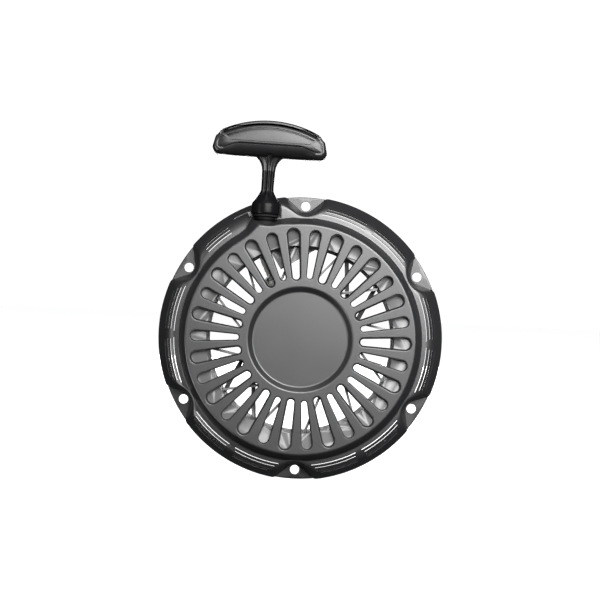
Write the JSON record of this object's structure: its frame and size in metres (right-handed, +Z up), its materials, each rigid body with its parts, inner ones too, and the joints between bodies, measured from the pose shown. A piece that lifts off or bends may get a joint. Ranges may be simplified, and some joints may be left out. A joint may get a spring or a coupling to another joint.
{
  "type": "recoil starter",
  "caption": "Round pull starter with a slotted steel cover, a rope reel, a spring, pawls and a T-handle.",
  "frame": {"origin": "centre of the bolt circle, on the mounting plane", "axes": "+Y out of the mounting plane, towards the engine, along the spin axis; the slotted face looks along -Y; +Z up, towards the handle"},
  "size_m": [0.214, 0.0387, 0.2658],
  "materials": {
    "black_paint": "satin black powder coat on pressed steel",
    "reel_nylon": "moulded dark grey glass-filled nylon",
    "grip_plastic": "moulded black plastic, semi-gloss",
    "black_nylon": "moulded black nylon",
    "plain_steel": "machined and hardened steel, lightly oiled",
    "zinc_steel": "zinc plated",
    "spring_steel": "tempered spring steel, oiled",
    "rope": "braided nylon rope"
  },
  "bodies": {
    "cover": {"housing": "black_paint", "centre_post": "plain_steel", "rope_guide": "black_nylon", "guide_clip": "spring_steel", "thrust_washer": "black_nylon", "screw_washer": "zinc_steel", "centre_screw": "zinc_steel", "rope_lead": "rope"},
    "reel": {"reel": "reel_nylon", "spring_cover": "zinc_steel", "cover_screws": "zinc_steel", "recoil_spring": "spring_steel", "brake_spring": "spring_steel", "rope_coil": "rope", "reel_knot": "rope", "pawl_spring_left": "spring_steel", "pawl_spring_right": "spring_steel"},
    "guide_plate": {"ratchet_guide": "zinc_steel"},
    "pawl_left": {"pawl_left": "plain_steel"},
    "pawl_right": {"pawl_right": "plain_steel"},
    "handle": {"grip_body": "grip_plastic", "grip_cap": "grip_plastic", "grip_washer": "zinc_steel", "grip_knot": "rope"}
  },
  "joints": [
    {"name": "reel_spin", "type": "hinge", "parent": "cover", "child": "reel", "pos_m": [0, -0.02, 0], "axis": [0, 1, 0], "range_deg": [0, 690], "stiffness_Nm_per_rad": 0.03, "springref_deg": -572.96, "deforming": ["recoil_spring", "rope_coil"]},
    {"name": "handle_pull", "type": "slide", "parent": "cover", "child": "handle", "axis": [0.0262, 0, 0.9997], "range_m": [0, 0.92], "deforming": ["rope_lead"]},
    {"name": "guide_turn", "type": "hinge", "parent": "reel", "child": "guide_plate", "pos_m": [0, -0.006, 0], "axis": [0, -1, 0], "range_deg": [0, 30]},
    {"name": "pawl_left_swing", "type": "hinge", "parent": "reel", "child": "pawl_left", "pos_m": [-0.024, -0.012, 0], "axis": [0, -1, 0], "range_deg": [0, 30]},
    {"name": "pawl_right_swing", "type": "hinge", "parent": "reel", "child": "pawl_right", "pos_m": [0.024, -0.012, 0], "axis": [0, -1, 0], "range_deg": [0, 30]}
  ],
  "couplings": [
    {"joint": "handle_pull", "follows": "reel_spin", "m_per_rad": 0.0758},
    {"joint": "pawl_left_swing", "follows": "guide_turn", "ratio": 1},
    {"joint": "pawl_right_swing", "follows": "guide_turn", "ratio": 1}
  ]
}
